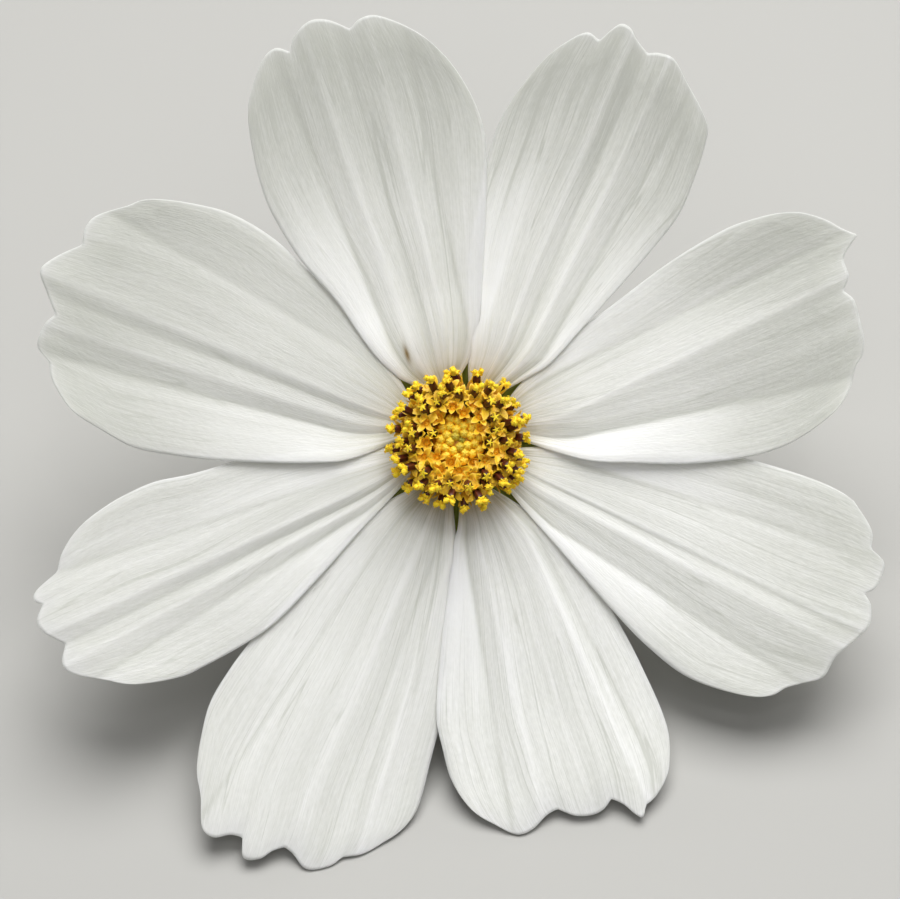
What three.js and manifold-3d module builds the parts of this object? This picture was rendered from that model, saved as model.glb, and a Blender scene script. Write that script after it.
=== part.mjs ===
// A cosmos flower as picked: eight white ray petals round a domed disc of small florets, held on a
// receptacle by two rings of green bracts, with a cut stem that bends behind the head and lies down.
// Millimetres, Z up. The head looks up and towards -Y, and rests on the tips of its two lowest petals.
import * as THREE from "three";
import { mergeVertices } from "three/addons/utils/BufferGeometryUtils.js";
import ManifoldModule from "manifold-3d";

// How the head stands and how the stem lies
const HEAD_PITCH = 55;            // degrees that the flower's axis points above level
const HEAD_ROLL = 6;              // degrees clockwise that the head is turned about its own axis
const HEAD_HEIGHT = 18.88;        // centre of the head above the ground
const STEM_RADIUS = 1.0;
const STEM_REACH = 62;            // cut end of the stem, behind the centre of the head
const STEM_SWING = 16;            // sideways bend of the stem at its cut end
const STEM_SIDES = 10;
const STEM_STEPS = 30;
const SEAT_GAP = 0.3;             // room left where two pieces touch

// Ray petals: the claw starts above the receptacle's rim, and the blade is a thin sheet
const PETAL_THICKNESS = 0.35;
const PETAL_CELLS = 12;
const CLAW_START = 4.7;
const OVER = 0.95;                // a margin that lies over its neighbour is lifted
const UNDER = -0.55;              // a margin that lies under its neighbour is lowered
const BLADE_RISE = [[CLAW_START, -1.6], [6, -0.9], [7.5, -0.25], [10, 0.15], [15, 0.2], [22, 0.7],
  [28, 1.55], [34, 2.8], [44, 5.3]];
const PLEAT_STRENGTH = [[0, 0.2], [0.1, 1], [0.6, 1], [1, 0.75]];
const NEAR = 12;                  // how far out the near and far places of a pleat or margin are given
const FAR = 34;
const DROOP_START = 24;           // how far out a petal starts to sag on its own
const DROOP_SPAN = 16;

// Bracts, receptacle and disc
const BRACT_THICKNESS = 0.3;
const BRACT_CUP = 0.35;           // how far a bract's margins curl up
const INNER_BRACT_RISE = [[5.5, -2.95], [6.6, -2.4], [8, -1.8], [10, -1.3], [12.8, -0.9]];
const OUTER_BRACT_RISE = [[5.25, -3.75], [7, -3.25], [9, -2.9], [11, -2.9], [13.8, -3.6]];
const RECEPTACLE_TOP = -2.2;
const RECEPTACLE_FOOT = -6.2;
const GOLDEN_ANGLE = 137.508;
const BUD_COUNT = 28;
const CENTRE_COUNT = 50;          // buds and young florets that grow packed together in the middle
const FLORET_COUNT = 83;

// Each petal: the direction of its axis, then half-widths [distance out, half-width] on its left and
// right sides, the lobes between its teeth as [across, distance out], the height of its left and right
// margins as [near the claw, near the tip], and the lines of its pleats as [across near the claw,
// across near the tip, height]. Left and right are as the flower's front shows them.
const PETALS = [
  { name: "petal_1", axis: 107, droop: 0.1,
    left: [[4.7, 1.2], [6, 2.3], [7.4, 3.8], [10.5, 5.5], [16, 7.3], [21, 9.5], [26, 10.8], [29, 11],
      [32, 10.8], [35.4, 10.2]],
    lobes: [
      [[-10.2, 35.4], [-9.2, 37.5], [-7.2, 40.1], [-5.8, 40.7], [-4.6, 40]],
      [[-4.6, 40], [-3.8, 41.2], [-2, 42.15], [-0.3, 41.8], [1.5, 40.4]],
      [[1.5, 40.4], [2.7, 41], [4.4, 40.8], [7.6, 38.2], [9.5, 35.2]]],
    right: [[4.7, 1.2], [6, 2.1], [7.3, 3.4], [10, 5.1], [15, 7], [20, 8.8], [26, 10.7], [29, 11],
      [32, 10.6], [35.2, 9.5]],
    margins: [[OVER, 0.5], [OVER, 0.4]],
    pleats: [[-3.6, -5.6, 0], [-1.8, -2.6, 0.25], [0, 0.3, 0.05], [2, 3, 0.25], [4.1, 6, 0]] },
  { name: "petal_2", axis: 67.5, droop: 0,
    left: [[4.7, 0.9], [6.4, 1.7], [8, 2.3], [11, 3.8], [16, 5.9], [21, 7.2], [25, 7.7], [29, 8.1],
      [32, 7.8], [34.6, 7.1]],
    lobes: [
      [[-7.1, 34.6], [-6.3, 36.8], [-5.2, 38.7], [-3.6, 40.4], [-2.2, 40.2]],
      [[-2.2, 40.2], [-1.1, 42.2], [0, 42.35], [1, 41.6], [2.5, 40.8]],
      [[2.5, 40.8], [3.5, 41.2], [5, 41.2], [6.6, 40], [10.3, 36.8]]],
    right: [[4.7, 1], [6.4, 2.5], [8.3, 4], [10, 5.2], [13.8, 6.6], [19.4, 8.6], [24.2, 10.2], [28, 11.2],
      [32, 11.2], [35, 10.9], [36.8, 10.3]],
    margins: [[UNDER, -0.2], [OVER, 0.6]],
    pleats: [[-1.6, -3.2, 0.1], [0.4, 0.4, 0.15], [1.8, 2.1, -0.15], [3, 4.2, 0.3], [4.6, 7.2, 0]] },
  { name: "petal_3", axis: 20.5, droop: 0.2,
    left: [[4.7, 1.1], [6.4, 2.4], [8, 3.3], [11, 4.6], [14.5, 5.9], [18.3, 7], [25.2, 9], [31, 10],
      [34, 9.9], [36, 9.6]],
    lobes: [
      [[-9.6, 36], [-8.9, 38], [-7.4, 40], [-6, 41.2], [-5, 42.3]],
      [[-5, 42.3], [-4.3, 41.3], [-3.4, 40.3], [-1.6, 40.1], [-0.5, 39.2]],
      [[-0.5, 39.2], [0.6, 39.8], [2.5, 39.7], [4.6, 39.4], [5.9, 38.8]],
      [[5.9, 38.8], [6.6, 37.9], [8.4, 36.6], [10, 34.4]]],
    right: [[4.7, 1.3], [7.4, 3.6], [11, 6.2], [14.4, 7.7], [20, 9.9], [26, 11.3], [30, 11.3],
      [34.4, 10]],
    margins: [[UNDER, 0.35], [1.5, 1.3]],
    pleats: [[-2.7, -4.8, -0.3], [1.2, -1.1, 0.35], [3.9, 7.1, 0]] },
  { name: "petal_4", axis: -23, droop: 0.2,
    left: [[4.7, 1.1], [8, 2.8], [12, 4.9], [18, 7.3], [24, 8.8], [28, 9.4], [33, 9.8], [36, 9.6]],
    lobes: [
      [[-9.6, 36], [-9, 37.4], [-7.4, 39.5], [-5.8, 40.1]],
      [[-5.8, 40.1], [-5.2, 41.6], [-3.8, 42], [-2.5, 41.9], [-1.6, 41.2]],
      [[-1.6, 41.2], [-0.9, 42.1], [1.2, 42.65], [4.9, 41], [7.3, 40.6], [8.7, 38.9]],
      [[8.7, 38.9], [9.5, 37.9], [10.8, 36.8], [11.7, 34.8]]],
    right: [[4.7, 1.3], [6.4, 2.6], [8, 3.5], [12.8, 5.8], [15.4, 7.1], [21.5, 10], [24.2, 11.1],
      [28, 12.2], [31, 12.3], [34.8, 11.7]],
    margins: [[UNDER, 0.2], [OVER, 0.9]],
    pleats: [[-2.4, -4.6, -0.25], [0.4, 1.3, 0.15], [0.7, 1.8, 0.05], [1.6, 3.2, 0.25],
      [4.2, 7.8, -0.1]] },
  { name: "petal_5", axis: -73.5, droop: 0,
    left: [[4.7, 1.1], [6.4, 2.7], [8, 4.1], [11, 6.3], [15.2, 8.2], [20.5, 9.6], [25.5, 10.6],
      [31.8, 11.3], [35, 10.6]],
    lobes: [
      [[-10.6, 35], [-9.6, 36.7], [-8.2, 37.9], [-7.2, 38.3]],
      [[-7.2, 38.3], [-6.6, 39.3], [-6, 38.9], [-5.2, 37.7], [-4.2, 36.85]],
      [[-4.2, 36.85], [-3.2, 37.6], [-2, 37.8], [-0.4, 37.4], [1, 36.35]],
      [[1, 36.35], [2.1, 36.6], [3.8, 37.5], [5.4, 37.55], [7, 36.2], [8.9, 34]]],
    right: [[4.7, 1.2], [8, 2.5], [9, 3.1], [13, 4.9], [19, 7.5], [24.8, 9.6], [28, 9.9], [31, 9.9],
      [34, 8.9]],
    margins: [[UNDER, -0.2], [OVER, 0.8]],
    pleats: [[-4.8, -8.8, -0.3], [-3.8, -7, 0.25], [-1, -1.7, 0], [1, 2.4, 0.2], [2.5, 5.3, -0.05]] },
  { name: "petal_6", axis: -112, droop: 0.42,
    left: [[4.7, 1.1], [8.5, 3.1], [13, 5.2], [19.5, 7.3], [25.2, 8.4], [29.6, 9], [34, 9.5], [36.2, 9]],
    lobes: [
      [[-9, 36.2], [-7.7, 38.2], [-6.3, 39.9], [-4.6, 40.9]],
      [[-4.6, 40.9], [-3.8, 42.1], [-1.8, 43.2], [0, 42.3], [0.9, 42.05]],
      [[0.9, 42.05], [1.9, 42.9], [2.6, 43.9], [4.2, 44.4], [4.95, 42.7]],
      [[4.95, 42.7], [6.1, 42.9], [7.5, 43.7], [8.9, 43.2], [10.1, 40.6], [11.4, 38.4]]],
    right: [[4.7, 1.1], [6.4, 2.8], [8.2, 4.3], [12, 6.5], [16, 8.4], [21, 10], [25.3, 11.3],
      [28.4, 12.1], [32, 12.65], [35, 12.3], [38.4, 11.4]],
    margins: [[UNDER, -0.2], [UNDER, 0.3]],
    pleats: [[-3.6, -5.4, 0.3], [-2, -2.6, 0.05], [-0.2, 0.6, 0.25], [3.2, 7.6, -0.2]] },
  { name: "petal_7", axis: 202, droop: 0.1,
    left: [[4.7, 1.1], [6.4, 1.9], [8.5, 2.9], [12, 4.5], [17, 7], [22.8, 9.6], [26.3, 10.4],
      [30.5, 10.9], [33, 11], [37.2, 10]],
    lobes: [
      [[-10, 37.2], [-8.6, 39.6], [-6.7, 42.4], [-5.5, 42.8], [-3.95, 41.9]],
      [[-3.95, 41.9], [-2.2, 43.3], [-0.9, 43.5], [0.3, 42.5]],
      [[0.3, 42.5], [1, 43.05], [1.8, 42.5], [2.7, 40.1]],
      [[2.7, 40.1], [4.3, 38.9], [5.9, 36.5]]],
    right: [[4.7, 1.1], [8.3, 2.6], [12, 4.1], [16, 5.4], [19, 6], [25, 6.6], [28.4, 7.2], [31, 7.15],
      [33.5, 6.8], [36.5, 5.9]],
    margins: [[OVER, 0.9], [UNDER, 0.5]],
    pleats: [[-3.2, -7, 0], [-2.4, -4.9, 0.2], [-1.8, -3.4, 0], [-1, -2, 0.3], [0.8, 2.2, 0]] },
  { name: "petal_8", axis: 159, droop: 0.2,
    left: [[4.7, 1.3], [7, 3.7], [9.6, 5.8], [12.2, 7], [15, 8.1], [21.2, 10.2], [25.2, 11.2],
      [28.8, 11.8], [32.3, 11.3], [35, 10.7]],
    lobes: [
      [[-10.7, 35], [-9.7, 36.8], [-8.3, 38.4], [-7, 39.1]],
      [[-7, 39.1], [-6.2, 40.5], [-5, 40.8], [-3.6, 40.65], [-2.6, 40.1]],
      [[-2.6, 40.1], [-0.8, 41.7], [0.8, 42.85], [2.5, 42], [4.5, 40.1]],
      [[4.5, 40.1], [6, 40.4], [7.5, 39.9], [9.4, 37.6], [11, 35.4]]],
    right: [[4.7, 1.1], [8, 3.9], [12, 6.4], [16, 8.6], [20.3, 10.4], [23.2, 11.6], [27, 12.35],
      [30, 12.3], [35.4, 11]],
    margins: [[1.5, 1.3], [UNDER, 0.35]],
    pleats: [[-3.4, -5.8, -0.2], [-2.2, -3.4, 0.1], [-1, -1, -0.05], [-0.2, 0.4, 0.2],
      [4.2, 7.6, -0.2]] },
];

const radians = THREE.MathUtils.degToRad;

// A smooth curve through knots [place, value], read at any place between its ends
function along(knots, place) {
  let i = 0;
  while (i < knots.length - 2 && place > knots[i + 1][0]) i += 1;
  const slope = (a, b) => (knots[b][1] - knots[a][1]) / (knots[b][0] - knots[a][0]);
  const span = knots[i + 1][0] - knots[i][0];
  const t = THREE.MathUtils.clamp((place - knots[i][0]) / span, 0, 1);
  const start = slope(Math.max(i - 1, 0), i + 1) * span;
  const end = slope(i, Math.min(i + 2, knots.length - 1)) * span;
  const rise = knots[i + 1][1] - knots[i][1];
  return knots[i][1] + t * (start + t * (3 * rise - 2 * start - end + t * (start + end - 2 * rise)));
}

// A blade is a flat board of cells whose every corner is moved to its place, so it stays closed.
// place(u, v, half) takes u from -1 to 1 across, v from 0 to 1 along, and half -1 or 1 for back or front.
function blade(cellsAcross, cellsAlong, place) {
  const board = new THREE.BoxGeometry(2, 1, 2, cellsAcross, cellsAlong, 1);
  const corners = board.attributes.position;
  for (let i = 0; i < corners.count; i += 1) {
    const point = place(corners.getX(i), corners.getY(i) + 0.5, corners.getZ(i));
    corners.setXYZ(i, point.x, point.y, point.z);
  }
  return closed(board);
}

// Merged corners make a geometry one closed body
function closed(geometry) {
  geometry.deleteAttribute("normal");
  geometry.deleteAttribute("uv");
  const merged = mergeVertices(geometry, 1e-4);
  merged.computeVertexNormals();
  return merged;
}

function material(name, colour, roughness) {
  const made = new THREE.MeshStandardMaterial({ color: colour, roughness, metalness: 0 });
  made.name = name;
  return made;
}

function piece(parent, name, geometry, finish) {
  const mesh = new THREE.Mesh(geometry, finish);
  mesh.name = name;
  parent.add(mesh);
}

const petalFinish = () => material("petal", 0xf2f1ec, 0.6);
const innerBractFinish = () => material("inner_bract", 0xb9bf7c, 0.6);
const outerBractFinish = () => material("outer_bract", 0x5b7a2c, 0.6);
const greenFinish = () => material("stem", 0x6d8b3a, 0.55);
const budFinish = () => material("disc_bud", 0xd9a21b, 0.6);
const floretFinish = () => material("disc_floret", 0xe8b414, 0.6);

const flower = new THREE.Group();
const head = new THREE.Group();
head.rotation.set(radians(90 - HEAD_PITCH), 0, radians(-HEAD_ROLL));
head.position.z = HEAD_HEIGHT;
flower.add(head);

// A ring place in the head, turned so that its +Y runs outwards along the given axis
function spoke(axis) {
  const group = new THREE.Group();
  group.rotation.z = radians(axis - 90);
  head.add(group);
  return group;
}

// The tip's edge, lobe by lobe, so that the teeth between the lobes stay sharp
function tipEdge({ left, right, lobes }, across) {
  const number = lobes.findIndex((knots) => across <= knots[knots.length - 1][0] + 1e-9);
  const [leftOut, leftWidth] = left[left.length - 2];
  const [rightOut, rightWidth] = right[right.length - 2];
  const before = number === 0 ? [[-leftWidth, leftOut]] : [];
  const after = number === lobes.length - 1 ? [[rightWidth, rightOut]] : [];
  return along([...before, ...lobes[number], ...after], across);
}

// The height of the pleats and margins at a place: flat facets between their lines
function pleatHeight(petal, x, y, leftEdge, rightEdge) {
  const far = THREE.MathUtils.clamp((y - NEAR) / (FAR - NEAR), 0, 1);
  const heights = petal.margins.map(([near, tip]) => THREE.MathUtils.lerp(near, tip, far));
  const lines = petal.pleats.map(([near, tip, height]) => [THREE.MathUtils.lerp(near, tip,
    (y - NEAR) / (FAR - NEAR)), height]);
  const within = lines.filter(([place]) => place > leftEdge && place < rightEdge);
  const knots = [[leftEdge, heights[0]], ...within, [rightEdge, heights[1]]];
  const next = Math.max(1, knots.findIndex(([place]) => place >= x - 1e-9));
  const [[start, low], [end, high]] = [knots[next - 1], knots[next]];
  return THREE.MathUtils.lerp(low, high, (x - start) / (end - start));
}

// A petal's surface is stretched between its two sides, its narrow claw and its toothed tip. Each side
// curve also knows the tip's next point, and the tip the side's last one, so that they meet smoothly.
function petalPoint(petal, u, v, half) {
  const { left, right, lobes } = petal;
  const leftEnd = left[left.length - 1];
  const rightEnd = right[right.length - 1];
  const lastLobe = lobes[lobes.length - 1];
  const [pastLeft, pastRight] = [lobes[0][1], lastLobe[lastLobe.length - 2]];
  const side = (u + 1) / 2;
  const leftOut = THREE.MathUtils.lerp(CLAW_START, leftEnd[0], v);
  const rightOut = THREE.MathUtils.lerp(CLAW_START, rightEnd[0], v);
  const leftEdge = -along([...left, [pastLeft[1], -pastLeft[0]]], leftOut);
  const rightEdge = along([...right, [pastRight[1], pastRight[0]]], rightOut);
  const tipAcross = THREE.MathUtils.lerp(-leftEnd[1], rightEnd[1], side);
  const tipOut = tipEdge(petal, tipAcross);
  const chordOut = THREE.MathUtils.lerp(leftEnd[0], rightEnd[0], side);
  const x = THREE.MathUtils.lerp(leftEdge, rightEdge, side);
  const y = THREE.MathUtils.lerp(leftOut, rightOut, side) + v * (tipOut - chordOut);
  const sag = Math.max(0, (y - DROOP_START) / DROOP_SPAN);
  const pleats = pleatHeight(petal, x, y, leftEdge, rightEdge) * along(PLEAT_STRENGTH, v);
  const z = along(BLADE_RISE, y) + pleats - petal.droop * sag * sag + (half * PETAL_THICKNESS) / 2;
  return new THREE.Vector3(x, y, z);
}

for (const petal of PETALS) {
  const place = (u, v, half) => petalPoint(petal, u, v, half);
  piece(spoke(petal.axis), petal.name, blade(PETAL_CELLS, PETAL_CELLS, place), petalFinish());
}

// Bracts: the inner ones are broad and lie behind the petals, the outer ones are narrow, between them
function bractPoint(widths, rise, u, v, half) {
  const y = THREE.MathUtils.lerp(rise[0][0], rise[rise.length - 1][0], v);
  const cup = BRACT_CUP * u * u * Math.sin(Math.PI * v);
  return new THREE.Vector3(u * along(widths, v), y, along(rise, y) + cup + (half * BRACT_THICKNESS) / 2);
}

const INNER_BRACT_WIDTHS = [[0, 1.2], [0.3, 2.2], [0.6, 2.0], [1, 0.35]];
const OUTER_BRACT_WIDTHS = [[0, 0.9], [0.3, 1.25], [0.65, 0.95], [1, 0.25]];
PETALS.forEach((petal, i) => {
  const inner = (u, v, half) => bractPoint(INNER_BRACT_WIDTHS, INNER_BRACT_RISE, u, v, half);
  const outer = (u, v, half) => bractPoint(OUTER_BRACT_WIDTHS, OUTER_BRACT_RISE, u, v, half);
  const next = PETALS[(i + 1) % PETALS.length].axis;
  const turn = THREE.MathUtils.euclideanModulo(petal.axis - next, 360);
  piece(spoke(petal.axis), `inner_bract_${i + 1}`, blade(4, 6, inner), innerBractFinish());
  piece(spoke(petal.axis - turn / 2), `outer_bract_${i + 1}`, blade(4, 6, outer), outerBractFinish());
});

// A turned solid whose profile [radius, height] runs from foot to top, starting and ending on its axis
function turned(profile, sides) {
  return closed(new THREE.LatheGeometry(profile.map(([r, z]) => new THREE.Vector2(r, z)), sides)
    .rotateX(Math.PI / 2));
}

const RECEPTACLE_PROFILE = [[0, RECEPTACLE_FOOT], [1.1, RECEPTACLE_FOOT], [1.7, -5.6], [3.4, -4.7],
  [4.8, -3.6], [5.15, -2.9], [4.9, RECEPTACLE_TOP], [0, RECEPTACLE_TOP]];
piece(head, "receptacle", turned(RECEPTACLE_PROFILE, 24), greenFinish());

// The disc grows in a golden-angle spiral. Outer florets lean out, so their tops spread wider.
function floretPlace(i) {
  const step = Math.sqrt(i + 0.5);
  const opened = Math.max(0, step - Math.sqrt(BUD_COUNT));
  const angle = radians(GOLDEN_ANGLE * i);
  const at = (radius, height) => new THREE.Vector3(
    radius * Math.cos(angle), radius * Math.sin(angle), height);
  return { opened, at, foot: 0.44 * step, top: 0.43 * step + 0.72 * opened };
}

// Stands a turned solid on its foot so that its axis points at its head
function standing(geometry, from, to) {
  const turn = new THREE.Quaternion().setFromUnitVectors(
    new THREE.Vector3(0, 0, 1), to.clone().sub(from).normalize());
  return geometry.applyQuaternion(turn).translate(from.x, from.y, from.z);
}

const wasm = await ManifoldModule();
wasm.setup();

function solid(geometry) {
  const mesh = new wasm.Mesh({
    numProp: 3,
    vertProperties: Float32Array.from(geometry.attributes.position.array),
    triVerts: Uint32Array.from(geometry.index.array),
  });
  return new wasm.Manifold(mesh);
}

// The middle of the disc: a dome with unopened buds on top and young florets round its shoulder
function discCentre() {
  const foot = RECEPTACLE_TOP + SEAT_GAP;
  const dome = [[0, foot], [2.4, foot], [2.55, -1.4], [2.75, 1.0], [2.3, 2.1], [1.3, 2.65], [0, 2.8]];
  let joined = solid(turned(dome, 16));
  for (let i = 0; i < CENTRE_COUNT; i += 1) {
    const { at, foot: footRadius, top, opened } = floretPlace(i);
    const bud = [[0, 0], [0.3, 0.15], [0.44, 0.75], [0.3, 1.25], [0, 1.45]];
    const young = [[0, 0], [0.25, 0], [0.3, 2.6], [0.5, 3.6], [0.2, 3.9], [0, 4.0]];
    const grown = i < BUD_COUNT
      ? standing(turned(bud, 6), at(top * 0.9, 2.0 - 0.09 * top * top), at(top, 4))
      : standing(turned(young, 6), at(footRadius * 0.85, 0.3), at(top, 4.2 + 0.1 * opened));
    joined = joined.add(solid(grown));
  }
  const mesh = joined.getMesh();
  const geometry = new THREE.BufferGeometry();
  geometry.setAttribute("position", new THREE.BufferAttribute(mesh.vertProperties, 3));
  geometry.setIndex(new THREE.BufferAttribute(mesh.triVerts, 1));
  geometry.computeVertexNormals();
  return geometry;
}

piece(head, "disc_centre", discCentre(), budFinish());

// Open florets: a slender tube, a flared corolla, then the anther column with its style
for (let i = CENTRE_COUNT; i < FLORET_COUNT; i += 1) {
  const { at, foot, top, opened } = floretPlace(i);
  const from = at(foot, RECEPTACLE_TOP + SEAT_GAP);
  const to = at(top, 4.7 - 0.15 * opened);
  const length = to.distanceTo(from);
  const flare = 0.46 + 0.03 * opened;
  const profile = [[0, 0], [0.21, 0], [0.24, 0.4 * length], [flare, 0.72 * length],
    [0.27, 0.77 * length], [0.27, 0.95 * length], [0, length]];
  const number = String(i - CENTRE_COUNT + 1).padStart(2, "0");
  piece(head, `disc_floret_${number}`, standing(turned(profile, 6), from, to), floretFinish());
}

// The stem leaves the receptacle along the head's axis, bends on an arc until it lies flat, and swings
// a little aside, so that the head rests between its two lowest petals and the stem.
function stemGeometry() {
  const pitch = radians(HEAD_PITCH);
  const drop = -(RECEPTACLE_FOOT - SEAT_GAP);
  const startY = drop * Math.cos(pitch);
  const startZ = HEAD_HEIGHT - drop * Math.sin(pitch);
  const bend = (startZ - STEM_RADIUS) / (1 - Math.cos(pitch));
  const lieY = startY + bend * Math.sin(pitch);
  const route = [];
  const pass = (y, z) => {
    const share = (y - startY) / (STEM_REACH - startY);
    route.push(new THREE.Vector3(STEM_SWING * share ** 1.6, y, z));
  };
  for (let i = 0; i <= 8; i += 1) {
    const left = pitch * (1 - i / 8);
    const y = startY + bend * (Math.sin(pitch) - Math.sin(left));
    pass(y, startZ - bend * (Math.cos(left) - Math.cos(pitch)));
  }
  for (let i = 1; i <= 4; i += 1) {
    pass(THREE.MathUtils.lerp(lieY, STEM_REACH, i / 4), STEM_RADIUS);
  }
  const corners = [];
  for (let i = 0; i < STEM_SIDES; i += 1) {
    const angle = (2 * Math.PI * i) / STEM_SIDES;
    corners.push(new THREE.Vector2(Math.cos(angle), Math.sin(angle)).multiplyScalar(STEM_RADIUS));
  }
  const extrudePath = new THREE.CatmullRomCurve3(route, false, "centripetal");
  const settings = { steps: STEM_STEPS, bevelEnabled: false, extrudePath };
  return closed(new THREE.ExtrudeGeometry(new THREE.Shape(corners), settings));
}

piece(flower, "stem", stemGeometry(), greenFinish());

// The origin is under the middle of the flower, on the ground
const box = new THREE.Box3().setFromObject(flower, true);
const middle = box.getCenter(new THREE.Vector3());
flower.position.set(-middle.x, -middle.y, -box.min.z);

export default flower;
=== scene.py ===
import math
import random

import bmesh
import bpy
from mathutils import Matrix, Vector, noise


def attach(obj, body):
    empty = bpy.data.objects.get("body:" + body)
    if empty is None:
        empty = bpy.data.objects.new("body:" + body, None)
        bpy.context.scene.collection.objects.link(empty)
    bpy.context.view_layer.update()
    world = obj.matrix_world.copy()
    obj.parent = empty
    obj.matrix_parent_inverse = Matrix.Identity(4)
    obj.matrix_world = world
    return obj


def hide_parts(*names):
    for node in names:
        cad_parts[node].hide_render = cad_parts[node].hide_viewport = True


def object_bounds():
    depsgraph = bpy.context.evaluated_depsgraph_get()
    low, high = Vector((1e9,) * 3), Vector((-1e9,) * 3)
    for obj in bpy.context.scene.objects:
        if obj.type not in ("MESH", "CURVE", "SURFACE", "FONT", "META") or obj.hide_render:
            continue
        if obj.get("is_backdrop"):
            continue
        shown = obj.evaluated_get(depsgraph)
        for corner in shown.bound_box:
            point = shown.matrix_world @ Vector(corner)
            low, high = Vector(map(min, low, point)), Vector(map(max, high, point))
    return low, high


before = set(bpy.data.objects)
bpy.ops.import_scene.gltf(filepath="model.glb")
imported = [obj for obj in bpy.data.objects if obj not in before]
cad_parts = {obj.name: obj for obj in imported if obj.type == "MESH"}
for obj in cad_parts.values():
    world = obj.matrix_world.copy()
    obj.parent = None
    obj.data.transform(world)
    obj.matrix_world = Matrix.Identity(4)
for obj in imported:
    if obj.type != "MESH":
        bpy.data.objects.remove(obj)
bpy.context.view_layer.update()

# ------------------------------------------------
# Receptacle. The swollen top of the stem, a solid green cushion that carries the florets, the petals
# and both rings of bracts. Living plant tissue: waxy, faintly ribbed where the bracts run into it.
MM = 0.001
HEAD_PITCH = math.radians(55)     # how far the flower's axis points above level
HEAD_ROLL = math.radians(6)       # how far the head is turned about its axis, clockwise from the front
RECEPTACLE_TOP = -2.2             # below the middle of the head
RECEPTACLE_FOOT = -6.2
RECEPTACLE_PROFILE = [(1.1, -6.2), (1.25, -5.95), (1.7, -5.6), (2.5, -5.15), (3.4, -4.7), (4.2, -4.2),
                      (4.8, -3.6), (5.1, -3.15), (5.15, -2.9), (5.1, -2.5), (4.9, -2.2)]
RECEPTACLE_RIBS = 8
STEM_GREEN, STEM_PALE, STEM_SHADE = "#6f8c40", "#95ad60", "#52702c"

rightward = Vector((1, 0, 0))
upward = Vector((0, math.sin(HEAD_PITCH), math.cos(HEAD_PITCH)))
outward = Vector((0, -math.cos(HEAD_PITCH), math.sin(HEAD_PITCH)))
corners = [corner.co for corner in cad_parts["receptacle"].data.vertices]
on_axis = sum(corners, Vector()) / len(corners)
top_face = max(corner.dot(outward) for corner in corners)
head_centre = on_axis + outward * (top_face - on_axis.dot(outward) - RECEPTACLE_TOP * MM)
level = Matrix((rightward, upward, outward)).transposed().to_4x4()
facing = level @ Matrix.Rotation(-HEAD_ROLL, 4, "Z")
HEAD = Matrix.Translation(head_centre) @ facing @ Matrix.Scale(MM, 4)


def linear(hex_colour):
    """An sRGB hex colour as linear red, green, blue and alpha."""
    shares = [int(hex_colour[i:i + 2], 16) / 255 for i in (1, 3, 5)]
    return [s / 12.92 if s <= 0.04045 else ((s + 0.055) / 1.055) ** 2.4 for s in shares] + [1.0]


def add(tree, kind, inputs=None, stops=(), **settings):
    """Adds a node. An input is a value, a hex colour or the output that feeds it."""
    made = tree.nodes.new("ShaderNode" + kind)
    for name, value in settings.items():
        setattr(made, name, value)
    for name, value in (inputs or {}).items():
        if isinstance(value, bpy.types.NodeSocket):
            tree.links.new(value, made.inputs[name])
        else:
            made.inputs[name].default_value = linear(value) if isinstance(value, str) else value
    for i, (place, colour) in enumerate(stops):
        stop = made.color_ramp.elements[i] if i < 2 else made.color_ramp.elements.new(place)
        stop.position, stop.color = place, linear(colour)
    return made


def scaled(tree, value, factor, plus=0.0, clamped=False):
    """A value times a factor, plus another."""
    return add(tree, "Math", {0: value, 1: factor, 2: plus}, operation="MULTIPLY_ADD",
               use_clamp=clamped).outputs[0]


def ramp(tree, value, stops):
    return add(tree, "ValToRGB", {"Fac": value}, stops).outputs["Color"]


def marked(tree, name):
    """A number that is written on the mesh's points."""
    return add(tree, "Attribute", attribute_name=name).outputs["Fac"]


def mottling(tree, grain_mm, detail):
    """Noise fixed to the piece, with grains of that size."""
    place = add(tree, "TexCoord").outputs["Object"]
    return add(tree, "TexNoise", {"Vector": place, "Scale": 1 / (grain_mm * MM),
                                  "Detail": detail}).outputs["Fac"]


def relief(tree, height, strength, depth_mm):
    return add(tree, "Bump", {"Height": height, "Strength": strength,
                              "Distance": depth_mm * MM}).outputs["Normal"]


def blank_material(name):
    made = bpy.data.materials.new(name)
    made.use_nodes = True
    made.node_tree.nodes.clear()
    return made, made.node_tree


def surface(tree, inputs):
    shader = add(tree, "BsdfPrincipled", inputs)
    add(tree, "OutputMaterial", {"Surface": shader.outputs["BSDF"]})


def green_tissue(name, dark, middle, pale, grain_mm):
    """Waxy green plant skin with a soft sheen, faintly mottled, paler on ridges and darker in grooves."""
    made, tree = blank_material(name)
    calm = scaled(tree, mottling(tree, grain_mm, 5.0), 0.45, 0.28)
    ridged = scaled(tree, marked(tree, "ridge"), 0.16, calm)
    colour = ramp(tree, ridged, [(0.3, dark), (0.5, middle), (0.72, pale)])
    surface(tree, {"Base Color": colour, "Roughness": 0.48,
                   "Subsurface Weight": 0.15, "Subsurface Radius": (0.6, 1.0, 0.3),
                   "Subsurface Scale": 0.5 * MM,
                   "Normal": relief(tree, mottling(tree, grain_mm / 6, 2.0), 0.35, 0.05)})
    return made


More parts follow.
